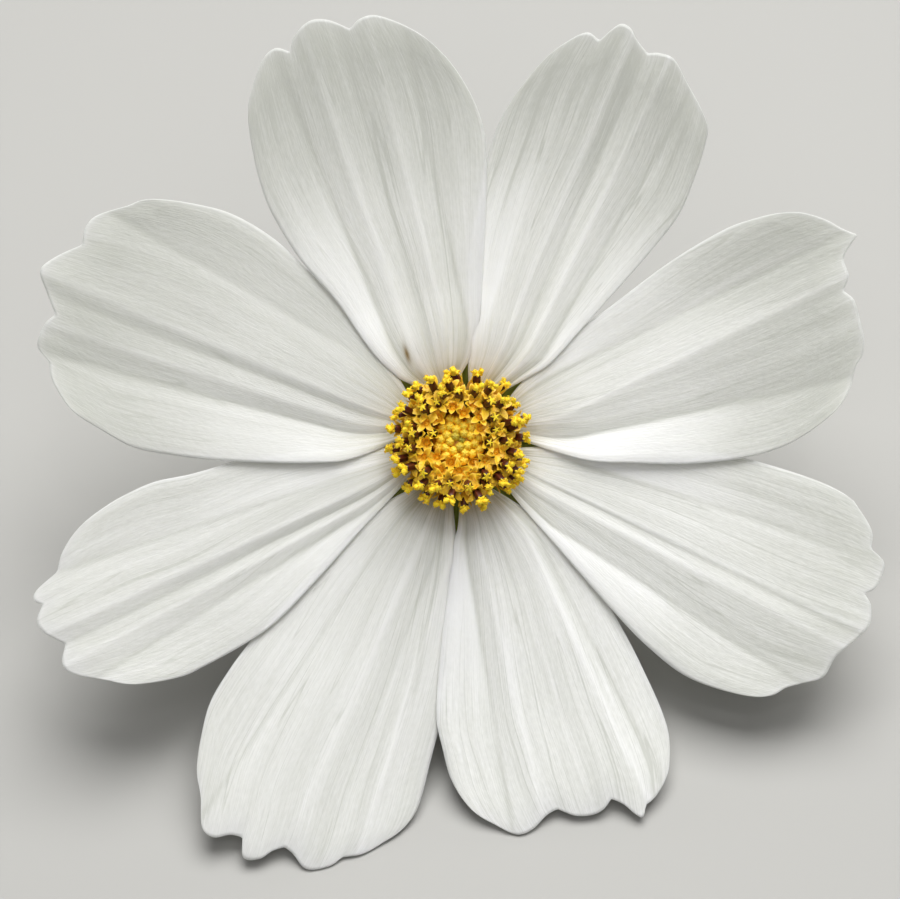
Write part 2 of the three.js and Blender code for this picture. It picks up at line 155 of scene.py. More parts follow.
def sleeve(sides, rings):
    """A tube of open rings, extruded one from the next. Each ring gives radius and height at an angle."""
    made = bmesh.new()
    loop = bmesh.ops.create_circle(made, segments=sides, radius=1.0)["verts"]
    edges = list(made.edges)
    for number, ring in enumerate(rings):
        if number:
            grown = bmesh.ops.extrude_edge_only(made, edges=edges)["geom"]
            loop = [part for part in grown if isinstance(part, bmesh.types.BMVert)]
            edges = [part for part in grown if isinstance(part, bmesh.types.BMEdge) and part.is_boundary]
        for vert in loop:
            angle = math.atan2(vert.co.y, vert.co.x)
            radius, height = ring(angle)
            vert.co = (radius * math.cos(angle), radius * math.sin(angle), height)
    return made


def close_ends(made):
    """Draws each open end of a sleeve to a pole at its middle, and points the faces out."""
    for edges in open_loops(made):
        verts = list({vert for edge in edges for vert in edge.verts})
        middle = sum((vert.co for vert in verts), Vector()) / len(verts)
        grown = bmesh.ops.extrude_edge_only(made, edges=edges)["geom"]
        tips = [part for part in grown if isinstance(part, bmesh.types.BMVert)]
        bmesh.ops.pointmerge(made, verts=tips, merge_co=middle)
    bmesh.ops.recalc_face_normals(made, faces=made.faces[:])
    return made


def open_loops(made):
    """The open edges of a tube, sorted into its lower and its upper end."""
    edges = [edge for edge in made.edges if edge.is_boundary]
    split = sum(edge.verts[0].co.z for edge in edges) / len(edges)
    return [[edge for edge in edges if (edge.verts[0].co.z > split) == upper] for upper in (False, True)]


def piece(name, made, materials, place=Matrix()):
    """A smooth-shaded object of that bmesh, laid in its place. Without one it already lies there."""
    bmesh.ops.transform(made, matrix=place, verts=made.verts)
    mesh = bpy.data.meshes.new(name)
    for face in made.faces:
        face.smooth = True
    made.to_mesh(mesh)
    made.free()
    for finish in materials:
        mesh.materials.append(finish)
    thing = bpy.data.objects.new(name, mesh)
    bpy.context.scene.collection.objects.link(thing)
    return thing


def receptacle_ring(radius, height):
    swell = 0.03 * math.sin(math.pi * (height - RECEPTACLE_FOOT) / (RECEPTACLE_TOP - RECEPTACLE_FOOT))
    return lambda angle: (radius * (1 - 0.02 + swell * math.cos(RECEPTACLE_RIBS * angle)), height)


cushion = close_ends(sleeve(64, [receptacle_ring(r, z) for r, z in RECEPTACLE_PROFILE]))
stem_skin = green_tissue("waxy_green_stem_skin", STEM_SHADE, STEM_GREEN, STEM_PALE, 1.6)
receptacle = piece("receptacle_cushion", cushion, [stem_skin], HEAD)
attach(receptacle, "root")
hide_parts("receptacle")

# ------------------------------------------------
# Stem. A slender green stalk, grooved along its length, that leaves the receptacle along the head's
# axis, bends until it lies flat and swings a little aside. Its cut end shows pale pith in a green ring.
STEM_RADIUS = 1.0
STEM_SWING = 16                   # sideways bend at the cut end
STEM_REACH = 62                   # cut end, behind the middle of the head
STEM_GAP = 0.3                    # between the stalk and the receptacle
STEM_GROOVES = 8
STEM_TAPER = 0.06
STEM_STEPS = 150
PITH_CELL = 0.16
PITH_PALE, PITH_GREEN = "#dfe3c0", "#a9bb74"

head_height = head_centre.z / MM
drop = STEM_GAP - RECEPTACLE_FOOT
start_back = drop * math.cos(HEAD_PITCH)
start_height = head_height - drop * math.sin(HEAD_PITCH)
bend_radius = (start_height - STEM_RADIUS) / (1 - math.cos(HEAD_PITCH))
lie_back = start_back + bend_radius * math.sin(HEAD_PITCH)


def stem_place(share):
    """The middle of the stem at a share of the way from the receptacle to the cut end."""
    back = start_back + share * (STEM_REACH - start_back)
    height = STEM_RADIUS
    if back < lie_back:
        left = math.asin((lie_back - back) / bend_radius)
        height = start_height - bend_radius * (math.cos(left) - math.cos(HEAD_PITCH))
    return Vector((STEM_SWING * share ** 1.6, back, height))


def stem_ring(number):
    """The grooves are cut into the round, and the neck under the receptacle is a little thicker."""
    taper = 1.0 - STEM_TAPER * number / STEM_STEPS
    return lambda angle: (STEM_RADIUS * taper * (0.96 + 0.04 * math.cos(STEM_GROOVES * angle)), number)


def on_the_route(made, steps, route):
    """Lays a tube that stands step by step along its own Z onto a route."""
    for vert in made.verts:
        share = vert.co.z / steps
        near, far = route(max(share - 0.004, 0)), route(min(share + 0.004, 1))
        ahead = (far - near).normalized()
        side = ahead.cross(Vector((0, 0, 1))).normalized()
        over = side.cross(ahead)
        vert.co = route(share) + side * vert.co.x + over * vert.co.y


stalk = close_ends(sleeve(48, [stem_ring(i) for i in range(STEM_STEPS + 1)]))
ridge = stalk.verts.layers.float.new("ridge")
for vert in stalk.verts:
    vert[ridge] = math.cos(STEM_GROOVES * math.atan2(vert.co.y, vert.co.x))
for face in stalk.faces:
    face.material_index = 1 if face.calc_center_median().z > STEM_STEPS - 0.1 else 0
on_the_route(stalk, STEM_STEPS, stem_place)
ground = Matrix.Translation((head_centre.x, head_centre.y, 0)) @ Matrix.Scale(MM, 4)
cut_pith, tree = blank_material("cut_stem_pith")
place = add(tree, "TexCoord").outputs["Object"]
cells = add(tree, "TexVoronoi", {"Vector": place, "Scale": 1 / (PITH_CELL * MM)}).outputs["Distance"]
surface(tree, {"Base Color": ramp(tree, cells, [(0.2, PITH_PALE), (0.8, PITH_GREEN)]), "Roughness": 0.4})
stem = piece("grooved_stem", stalk, [stem_skin, cut_pith], ground)
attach(stem, "root")
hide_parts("stem")

# ------------------------------------------------
# Outer bracts. Eight narrow leaf-green scales that stand between the petals and spread outwards, keeled
# along the middle. Their tips are what shows green in the small gaps between the petal claws.
PETAL_AXES = [107, 67.5, 20.5, -23, -73.5, -112, 202, 159]      # anticlockwise from the right, in degrees
OUTER_BRACT_RISE = [(5.25, -3.75), (7, -3.25), (9, -2.9), (11, -2.9), (13.8, -3.6)]
OUTER_BRACT_WIDTHS = [(0, 0.9), (0.3, 1.25), (0.65, 0.95), (0.9, 0.5), (1, 0.12)]
BRACT_THICKNESS = 0.26
BRACT_CUP = 0.35                  # how far a bract's margins curl up
BRACT_KEEL, KEEL_WIDTH = 0.1, 0.22
LEAF_DARK, LEAF_GREEN, LEAF_PALE, LEAF_MARGIN = "#7b882f", "#9da648", "#bfc272", "#b9bd78"


def along(knots, place):
    """A smooth curve through knots (place, value), read at any place between its ends."""
    i = 0
    while i < len(knots) - 2 and place > knots[i + 1][0]:
        i += 1

    def slope(a, b):
        return (knots[b][1] - knots[a][1]) / (knots[b][0] - knots[a][0])

    span = knots[i + 1][0] - knots[i][0]
    t = min(max((place - knots[i][0]) / span, 0), 1)
    start = slope(max(i - 1, 0), i + 1) * span
    end = slope(i, min(i + 2, len(knots) - 1)) * span
    rise = knots[i + 1][1] - knots[i][1]
    return knots[i][1] + t * (start + t * (3 * rise - 2 * start - end + t * (start + end - 2 * rise)))


def spoke(axis):
    """A place in the head turned so that its +Y runs outwards at that angle."""
    return HEAD @ Matrix.Rotation(math.radians(axis - 90), 4, "Z")


def sheet(cells_across, cells_along, place):
    """A grid whose points place(u, v) moves, u from -1 to 1 across and v from 0 to 1 along."""
    made = bmesh.new()
    made.loops.layers.uv.new("blade")
    bmesh.ops.create_grid(made, x_segments=cells_across, y_segments=cells_along, size=1, calc_uvs=True)
    for vert in made.verts:
        vert.co = place(vert.co.x, (vert.co.y + 1) / 2)
    return made


def thicken(thing, thickness):
    """A wall of that thickness, half to each side of the sheet."""
    wall = thing.modifiers.new("thickness", "SOLIDIFY")
    wall.thickness = thickness * MM
    wall.offset = 0
    return wall


def bract_place(widths, rise, u, v):
    out = rise[0][0] + v * (rise[-1][0] - rise[0][0])
    cup = BRACT_CUP * u * u * math.sin(math.pi * v)
    keel = BRACT_KEEL * math.exp(-(u / KEEL_WIDTH) ** 2)
    return Vector((u * along(widths, v), out, along(rise, out) + cup - keel))


def blended(tree, share, colour, other):
    return add(tree, "Mix", {0: share, 6: colour, 7: other}, data_type="RGBA").outputs[2]


def bract_material(name, dark, middle, pale, margin):
    """A thin leaf scale with fine parallel veins, a pale midrib and a paler margin."""
    made, tree = blank_material(name)
    uv = add(tree, "UVMap", uv_map="blade").outputs["UV"]
    drawn = add(tree, "Mapping", {"Vector": uv, "Scale": (26, 1.6, 1)}).outputs["Vector"]
    veins = add(tree, "TexNoise", {"Vector": drawn, "Scale": 1.0, "Detail": 3.0}).outputs["Fac"]
    colour = ramp(tree, veins, [(0.3, dark), (0.5, middle), (0.7, pale)])
    across = add(tree, "SeparateXYZ", {"Vector": uv}).outputs["X"]
    edges = ramp(tree, across, [(0, "#ffffff"), (0.1, "#000000"), (0.47, "#000000"), (0.5, "#909090"),
                                (0.53, "#000000"), (0.9, "#000000"), (1, "#ffffff")])
    surface(tree, {"Base Color": blended(tree, edges, colour, margin), "Roughness": 0.5,
                   "Subsurface Weight": 0.2, "Subsurface Radius": (0.6, 1.0, 0.3),
                   "Subsurface Scale": 0.4 * MM, "Normal": relief(tree, veins, 0.5, 0.08)})
    return made


leaf_green = bract_material("leaf_green_bract", LEAF_DARK, LEAF_GREEN, LEAF_PALE, LEAF_MARGIN)
for i, axis in enumerate(PETAL_AXES):
    following = PETAL_AXES[(i + 1) % len(PETAL_AXES)]
    between = axis - ((axis - following) % 360) / 2
    scale = sheet(20, 48, lambda u, v: bract_place(OUTER_BRACT_WIDTHS, OUTER_BRACT_RISE, u, v))
    outer = piece(f"outer_bract_scale_{i + 1}", scale, [leaf_green], spoke(between))
    thicken(outer, BRACT_THICKNESS)
    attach(outer, "root")
    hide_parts(f"outer_bract_{i + 1}")

# ------------------------------------------------
# Inner bracts. Eight broad papery scales, one pressed against the back of each petal. Straw green with
# darker parallel veins and a thin translucent margin.
INNER_BRACT_RISE = [(5.5, -2.95), (6.6, -2.4), (8, -1.8), (10, -1.3), (12.8, -0.9)]
INNER_BRACT_WIDTHS = [(0, 1.2), (0.3, 2.2), (0.6, 2.0), (0.88, 0.95), (1, 0.15)]
STRAW_DARK, STRAW, STRAW_PALE, STRAW_MARGIN = "#8d9450", "#b9bf7c", "#d3d7a4", "#e3e5c8"

papery_straw = bract_material("papery_straw_bract", STRAW_DARK, STRAW, STRAW_PALE, STRAW_MARGIN)
for i, axis in enumerate(PETAL_AXES):
    scale = sheet(28, 40, lambda u, v: bract_place(INNER_BRACT_WIDTHS, INNER_BRACT_RISE, u, v))
    inner = piece(f"inner_bract_scale_{i + 1}", scale, [papery_straw], spoke(axis))
    thicken(inner, BRACT_THICKNESS)
    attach(inner, "root")
    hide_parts(f"inner_bract_{i + 1}")

# ------------------------------------------------
# Ray petals. Eight white strap petals with toothed tips, pleated lengthwise and lapping over each other
# in turn. Each is a thin translucent skin, velvety, with fine parallel veins that fan out from its claw.
CLAW_START = 4.7
PETAL_CELLS_ACROSS, PETAL_CELLS_ALONG = 88, 120
PETAL_THICKNESS = 0.24
THIN_EDGE = 0.25                  # share of the thickness left at the margin
OVER, UNDER = 0.27, -0.17         # a margin that laps over its neighbour, and one that lies under
BLADE_RISE = [(4.7, -1.6), (6, -0.9), (7.5, -0.25), (10, 0.15), (15, 0.2), (22, 0.7), (28, 1.55),
              (34, 2.8), (44, 5.3)]
PLEAT_STRENGTH = [(0, 0.2), (0.1, 0.6), (0.3, 1), (0.6, 1), (1, 0.75)]
NEAR, FAR = 12, 34                # distances out at which a pleat's or margin's two values are given
PLEAT_LIMIT = 0.85                # share of the half-width that a pleat's line stays within
FOLD_STEEP, FOLD_WIDTH = 0.22, 0.32         # how sharp a crease gets its full painted highlight or shade, and how broad that painted line is
SWELL, RIBS, CRINKLE, RUFFLE = 0.14, 0.016, 0.014, 0.13         # heights of the blade's unevenness
DROOP_START, DROOP_SPAN = 24, 16
SCARRED, SCAR_ACROSS, SCAR_OUT = 1, -2.35, 9.4        # one petal has a small brown scar near its claw
SCAR_WIDTH, SCAR_LENGTH, SCAR_BROWN = 0.23, 0.85, "#88703c"
PETAL_WHITES = ["#e9e9e5", "#eeeeea", "#e7e7e3", "#eeeeea", "#f3f3ef", "#eaeae6", "#e3e3df", "#e0e0dc"]
PETAL_TIP_SHADES = [0.6, 0.6, 0.6, 0.4, 0.2, 0.15, 0, 0.55]      # painted shade: how much greyer each petal's tip is, most on the upper petals
# the grey carries vein greys and painted shade; the rim white is a painted highlight along the edges
PETAL_GREY_AND_SHADE, PETAL_BASE, RIM_HIGHLIGHT_WHITE = "#cccdc6", "#a9a982", "#eeeeea"
PAINTED_HIGHLIGHT_WHITE = "#fcfcf9"           # painted highlight where two layers lap and let less light through, and on the outer strips
DOUBLE_SHARE, PALE_FADE = 0.5, 0.45         # how white that painted highlight is where two layers lap, and how wide its change is
PALE_FULL, PALE_END = 0.25, 0.65            # how far along a blade its outermost strips get painted highlight
# the skin's broad streaks, stripes, threads, crinkles and vein lines: grains across, along, and detail
SKIN_GRAINS = [(13, 0.8, 3.0), (30, 1.3, 2.0), (210, 5, 2.0), (85, 46, 4.0), (11, 0.6, 1.0)]

# Each petal: its droop, the heights of its two margins as (near, far), how much painted highlight whitens
# its two outermost strips, half-widths of its left and right sides as (distance out, half-width), the
# lobes along its tip as (across, distance out), each ending in the notch where the next begins, and its
# pleats as (across near the claw, across near the tip, height).
PETALS = [
    {"droop": 0.1, "margins": [(OVER, 0.4), (OVER, 0.4)], "pale": (0.7, 0.3),
     "left": [(4.7, 1.2), (6, 2.3), (7.4, 3.8), (10.5, 5.5), (16, 7.3), (21, 9.5), (26, 10.8), (29, 11),
              (32, 10.8), (35.4, 10.2)],
     "right": [(4.7, 1.2), (6, 2.1), (7.3, 3.4), (10, 5.1), (15, 7), (20, 8.8), (26, 10.7), (29, 11),
               (32, 10.6), (35.2, 9.5)],
     "lobes": [[(-10.2, 35.4), (-9.2, 37.5), (-7.2, 40.1), (-5.8, 40.7), (-4.6, 40)], [(-3.8, 41.2),
               (-2, 42.15), (-0.3, 41.8), (1.5, 40.4)], [(2.7, 41), (4.4, 40.8), (7.6, 38.2),
               (9.5, 35.2)]],
     "pleats": [(-3.6, -5.6, 0), (-1.8, -2.6, 0.25), (0, 0.3, 0.05), (2, 3, 0.25), (4.1, 6, 0)]},
    {"droop": 0, "margins": [(UNDER, -0.2), (OVER, 0.45)], "pale": (0.7, 0.4),
     "left": [(4.7, 0.9), (6.4, 1.7), (8, 2.3), (11, 3.8), (16, 5.9), (21, 7.2), (25, 7.7), (29, 8.1),
              (32, 7.8), (34.6, 7.1)],
     "right": [(4.7, 1), (6.4, 2.5), (8.3, 4), (10, 5.2), (13.8, 6.6), (19.4, 8.6), (24.2, 10.2),
               (28, 11.2), (32, 11.2), (35, 10.9), (36.8, 10.3)],
     "lobes": [[(-7.1, 34.6), (-6.3, 36.8), (-5.2, 38.7), (-3.6, 40.4), (-2.2, 40.2)], [(-1.1, 42.2),
               (0, 42.35), (1, 41.6), (2.5, 40.8)], [(3.5, 41.2), (5, 41.2), (6.6, 40), (10.3, 36.8)]],
     "pleats": [(-1.6, -3.2, 0.1), (0.4, 0.4, 0.15), (1.8, 2.1, -0.15), (3, 4.2, 0.3), (4.6, 7.2, 0)]},
    {"droop": 0.2, "margins": [(UNDER, 0.35), (0.75, 0.9)], "pale": (0.5, 0.85),
     "left": [(4.7, 1.1), (6.4, 2.4), (8, 3.3), (11, 4.6), (14.5, 5.9), (18.3, 7), (25.2, 9), (31, 10),
              (34, 9.9), (36, 9.6)],
     "right": [(4.7, 1.3), (7.4, 3.6), (11, 6.2), (14.4, 7.7), (20, 9.9), (26, 11.3), (30, 11.3),
               (34.4, 10)],
     "lobes": [[(-9.6, 36), (-8.9, 38), (-7.4, 40), (-6, 41.2), (-5, 42.3)], [(-4.3, 41.3),
               (-3.4, 40.3), (-1.6, 40.1), (-0.5, 39.2)], [(0.6, 39.8), (2.5, 39.7), (4.6, 39.4),
               (5.9, 38.8)], [(6.6, 37.9), (8.4, 36.6), (10, 34.4)]],
     "pleats": [(-2.7, -4.8, -0.3), (1.2, -1.1, 0.35), (3.9, 7.1, 0)]},
    {"droop": 0.2, "margins": [(UNDER, 0.2), (OVER, 0.7)], "pale": (0.9, 0.7),
     "left": [(4.7, 1.1), (8, 2.8), (12, 4.9), (18, 7.3), (24, 8.8), (28, 9.4), (33, 9.8), (36, 9.6)],
     "right": [(4.7, 1.3), (6.4, 2.6), (8, 3.5), (12.8, 5.8), (15.4, 7.1), (21.5, 10), (24.2, 11.1),
               (28, 12.2), (31, 12.3), (34.8, 11.7)],
     "lobes": [[(-9.6, 36), (-9, 37.4), (-7.4, 39.5), (-5.8, 40.1)], [(-5.2, 41.6), (-3.8, 42),
               (-2.5, 41.9), (-1.6, 41.2)], [(-0.9, 42.1), (1.2, 42.65), (4.9, 41), (7.3, 40.6),
               (8.7, 38.9)], [(9.5, 37.9), (10.8, 36.8), (11.7, 34.8)]],
     "pleats": [(-2.4, -4.6, -0.25), (0.4, 1.3, 0.15), (0.7, 1.8, 0.05), (1.6, 3.2, 0.25),
                (4.2, 7.8, -0.1)]},
    {"droop": 0, "margins": [(UNDER, -0.2), (OVER, 0.6)], "pale": (0, 0.9),
     "left": [(4.7, 1.1), (6.4, 2.7), (8, 4.1), (11, 6.3), (15.2, 8.2), (20.5, 9.6), (25.5, 10.6),
              (31.8, 11.3), (35, 10.6)],
     "right": [(4.7, 1.2), (8, 2.5), (9, 3.1), (13, 4.9), (19, 7.5), (24.8, 9.6), (28, 9.9), (31, 9.9),
               (34, 8.9)],
     "lobes": [[(-10.6, 35), (-9.6, 36.7), (-8.2, 37.9), (-7.2, 38.3)], [(-6.6, 39.3), (-6, 38.9),
               (-5.2, 37.7), (-4.2, 36.85)], [(-3.2, 37.6), (-2, 37.8), (-0.4, 37.4), (1, 36.35)],
               [(2.1, 36.6), (3.8, 37.5), (5.4, 37.55), (7, 36.2), (8.9, 34)]],
     "pleats": [(-4.8, -8.8, -0.2), (-3.8, -7, 0.12), (-1, -1.7, 0), (1, 2.4, 0.2), (2.5, 5.3, -0.05)]},
    {"droop": 0.42, "margins": [(UNDER, -0.2), (UNDER, 0.3)], "pale": (0.3, 0.3),
     "left": [(4.7, 1.1), (8.5, 3.1), (13, 5.2), (19.5, 7.3), (25.2, 8.4), (29.6, 9), (34, 9.5),
              (36.2, 9)],
     "right": [(4.7, 1.1), (6.4, 2.8), (8.2, 4.3), (12, 6.5), (16, 8.4), (21, 10), (25.3, 11.3),
               (28.4, 12.1), (32, 12.65), (35, 12.3), (38.4, 11.4)],
     "lobes": [[(-9, 36.2), (-7.7, 38.2), (-6.3, 39.9), (-4.6, 40.9)], [(-3.8, 42.1), (-1.8, 43.2),
               (0, 42.3), (0.9, 42.05)], [(1.9, 42.9), (2.6, 43.9), (4.2, 44.4), (4.95, 42.7)],
               [(6.1, 42.9), (7.5, 43.7), (8.9, 43.2), (10.1, 40.6), (11.4, 38.4)]],
     "pleats": [(-3.6, -5.4, 0.3), (-2, -2.6, 0.05), (-0.2, 0.6, 0.25), (3.2, 7.6, -0.2)]},
    {"droop": 0.1, "margins": [(OVER, 0.7), (UNDER, 0.5)], "pale": (0.4, 0.5),
     "left": [(4.7, 1.1), (6.4, 1.9), (8.5, 2.9), (12, 4.5), (17, 7), (22.8, 9.6), (26.3, 10.4),
              (30.5, 10.9), (33, 11), (37.2, 10)],
     "right": [(4.7, 1.1), (8.3, 2.6), (12, 4.1), (16, 5.4), (19, 6), (25, 6.6), (28.4, 7.2),
               (31, 7.15), (33.5, 6.8), (36.5, 5.9)],
     "lobes": [[(-10, 37.2), (-8.6, 39.6), (-6.7, 42.4), (-5.5, 42.8), (-3.95, 41.9)], [(-2.2, 43.3),
               (-0.9, 43.5), (0.3, 42.5)], [(1, 43.05), (1.8, 42.5), (2.7, 40.1)], [(4.3, 38.9),
               (5.9, 36.5)]],
     "pleats": [(-3.2, -7, 0), (-2.4, -4.9, 0.2), (-1.8, -3.4, 0), (-1, -2, 0.3), (0.8, 2.2, 0)]},
    {"droop": 0.2, "margins": [(0.75, 0.9), (UNDER, 0.35)], "pale": (0.3, 0),
     "left": [(4.7, 1.3), (7, 3.7), (9.6, 5.8), (12.2, 7), (15, 8.1), (21.2, 10.2), (25.2, 11.2),
              (28.8, 11.8), (32.3, 11.3), (35, 10.7)],
     "right": [(4.7, 1.1), (8, 3.9), (12, 6.4), (16, 8.6), (20.3, 10.4), (23.2, 11.6), (27, 12.35),
               (30, 12.3), (35.4, 11)],
     "lobes": [[(-10.7, 35), (-9.7, 36.8), (-8.3, 38.4), (-7, 39.1)], [(-6.2, 40.5), (-5, 40.8),
               (-3.6, 40.65), (-2.6, 40.1)], [(-0.8, 41.7), (0.8, 42.85), (2.5, 42), (4.5, 40.1)],
               [(6, 40.4), (7.5, 39.9), (9.4, 37.6), (11, 35.4)]],
     "pleats": [(-3.4, -5.8, -0.2), (-2.2, -3.4, 0.1), (-1, -1, -0.05), (-0.2, 0.4, 0.2),
                (4.2, 7.6, -0.2)]},
]


def tip_edge(petal, across):
    """The tip's edge, lobe by lobe, so that the teeth between the lobes stay sharp."""
    lobes = petal["lobes"]
    number = next((n for n, knots in enumerate(lobes) if across <= knots[-1][0] + 1e-9), len(lobes) - 1)
    left_out, left_width = petal["left"][-2]
    right_out, right_width = petal["right"][-2]
    before = lobes[number - 1][-1] if number else (-left_width, left_out)
    after = [(right_width, right_out)] if number == len(lobes) - 1 else []
    return along([before] + lobes[number] + after, across)


def blade_place(petal, u, v):
    """Where a point of the blade lies across and out, with the places of both margins beside it. Each
    side curve knows the tip's next point and the tip the side's last one, so that they meet smoothly."""
    left, right, lobes = petal["left"], petal["right"], petal["lobes"]
    past_left, past_right = lobes[0][1], lobes[-1][-2]
    side = (u + 1) / 2
    left_out = CLAW_START + v * (left[-1][0] - CLAW_START)
    right_out = CLAW_START + v * (right[-1][0] - CLAW_START)
    left_edge = -along(left + [(past_left[1], -past_left[0])], left_out)
    right_edge = along(right + [(past_right[1], past_right[0])], right_out)
    tip_across = -left[-1][1] + side * (left[-1][1] + right[-1][1])
    chord_out = left[-1][0] + side * (right[-1][0] - left[-1][0])
    across = left_edge * (1 - side) + right_edge * side
    out = left_out * (1 - side) + right_out * side + v * (tip_edge(petal, tip_across) - chord_out)
    return across, out, left_edge, right_edge


def pleat_lines(petal, out, left_edge, right_edge):
    """The lines between a blade's facets at a distance out, as (across, height), margins included. Nearer
    than NEAR they turn smoothly inwards and all draw together on the claw."""
    share = (out - NEAR) / (FAR - NEAR)
    ends = [near + (far - near) * max(0, min(share, 1)) for near, far in petal["margins"]]
    lines = [(near + (far - near) * share, near, height) for near, far, height in petal["pleats"]]
    straight = max(0, min((out - CLAW_START) / (NEAR - CLAW_START), 1))
    straight *= straight * (3 - 2 * straight)
    drawn_left = -left_edge / along(petal["left"], NEAR)
    drawn_right = right_edge / along(petal["right"], NEAR)
    placed = []
    for place, near, height in lines:
        drawn_in = near * (drawn_right if near > 0 else drawn_left)
        place = drawn_in + (place - drawn_in) * straight
        place = max(PLEAT_LIMIT * left_edge, min(place, PLEAT_LIMIT * right_edge))
        placed.append((place, height))
    return [(left_edge, ends[0])] + placed + [(right_edge, ends[1])]


def pleat_height(lines, across):
    """Flat facets between the lines."""
    after = next((n for n in range(1, len(lines)) if lines[n][0] >= across - 1e-9), len(lines) - 1)
    (start, low), (end, high) = lines[after - 1], lines[after]
    return low + (high - low) * (across - start) / (end - start)


def fold_highlight_and_shade(lines, across):
    """Up to 1 on a ridge between two facets, down to -1 in a valley, and 0 away from the lines: painted
    highlight on ridges and painted shade in valleys.
    """
    total = 0
    for (a, low), (b, middle), (c, high) in zip(lines, lines[1:], lines[2:]):
        sharpness = (middle - low) / max(b - a, 0.3) - (high - middle) / max(c - b, 0.3)
        total += max(-1, min(1, sharpness / FOLD_STEEP)) * math.exp(-((across - b) / FOLD_WIDTH) ** 2)
    return max(-1, min(1, total))


def blade_height(petal, number, u, v, across, out, lines):
    """The dish, the pleats and the droop, with a fine unevenness that starts past the claw."""
    sag = max(0, (out - DROOP_START) / DROOP_SPAN)
    pleats = pleat_height(lines, across) * along(PLEAT_STRENGTH, v)
    worn_in = min(1, v / 0.12)
    swell = SWELL * noise.noise((across / 6, out / 10, number * 7.3)) * worn_in
    ribs = RIBS * noise.noise((u * 15, v * 2.2, number * 3.1)) * worn_in
    crinkle = CRINKLE * noise.noise((across / 0.9, out / 2.4, number * 2.3)) * worn_in
    ruffle = RUFFLE * noise.noise((across / 2.4, 5.0, number * 5.7)) * max(0, v - 0.8) / 0.2
    return along(BLADE_RISE, out) + pleats + swell + ribs + crinkle + ruffle - petal["droop"] * sag * sag


def double_layer_highlight(number, side, across, out):
    """A painted highlight: how much whiter a margin is painted where it has the petal beside it behind
    it. Side 0 is the left margin and side 1 the right one."""
    beside = (number - 2 + 2 * side) % len(PETALS)
    turn = math.radians(PETAL_AXES[number - 1] - PETAL_AXES[beside])
    place = Matrix.Rotation(turn, 2) @ Vector((across, out))
    if PETALS[number - 1]["margins"][side][0] < 0 or place.y < CLAW_START:
        return 0
    edge = along(PETALS[beside]["left" if side else "right"], place.y)
    depth = edge + (place.x if side else -place.x)
    return DOUBLE_SHARE * max(0, min(depth / PALE_FADE, 1))


def strip_highlight(petal, lines, across, v):
    """A painted highlight: how much whiter a blade is painted beyond its outermost pleats."""
    depths = (lines[1][0] - across, across - lines[-2][0])
    strips = [share * min(1, depth / PALE_FADE) for share, depth in zip(petal["pale"], depths)]
    return max(0, *strips) * max(0, min((PALE_END - v) / (PALE_END - PALE_FULL), 1)) * min(1, 8 * v)


def petal_sheet(petal, number):
    made = sheet(PETAL_CELLS_ACROSS, PETAL_CELLS_ALONG, lambda u, v: Vector((u, v, 0)))
    fold_shading, rim, pale, scar = [made.verts.layers.float.new(n) for n in ("fold_shading", "rim", "pale", "scar")]
    body = made.verts.layers.deform.new()
    for vert in made.verts:
        u, v, _ = vert.co
        across, out, left_edge, right_edge = blade_place(petal, u, v)
        lines = pleat_lines(petal, out, left_edge, right_edge)
        # painted highlight on the pleats' ridges and painted shade in their valleys
        vert[fold_shading] = fold_highlight_and_shade(lines, across) * min(1, v / 0.1)
        edge = max(abs(u), v)
        # the rim mark carries a painted highlight along the edges
        vert[rim] = max(0, 1 - (1 - edge) * PETAL_CELLS_ACROSS / 2)
        # painted highlight where the margin laps a neighbour and on the outer strips
        doubled_highlight = max(double_layer_highlight(number, side, across, out) for side in (0, 1))
        vert[pale] = max(doubled_highlight, strip_highlight(petal, lines, across, v))
        if number == SCARRED:
            beside, past = (across - SCAR_ACROSS) / SCAR_WIDTH, (out - SCAR_OUT) / SCAR_LENGTH
            vert[scar] = math.exp(-beside ** 2 - past ** 2)
        vert[body][0] = min(1, THIN_EDGE + (1 - edge) * 9)
        vert.co = (across, out, blade_height(petal, number, u, v, across, out, lines))
    return made


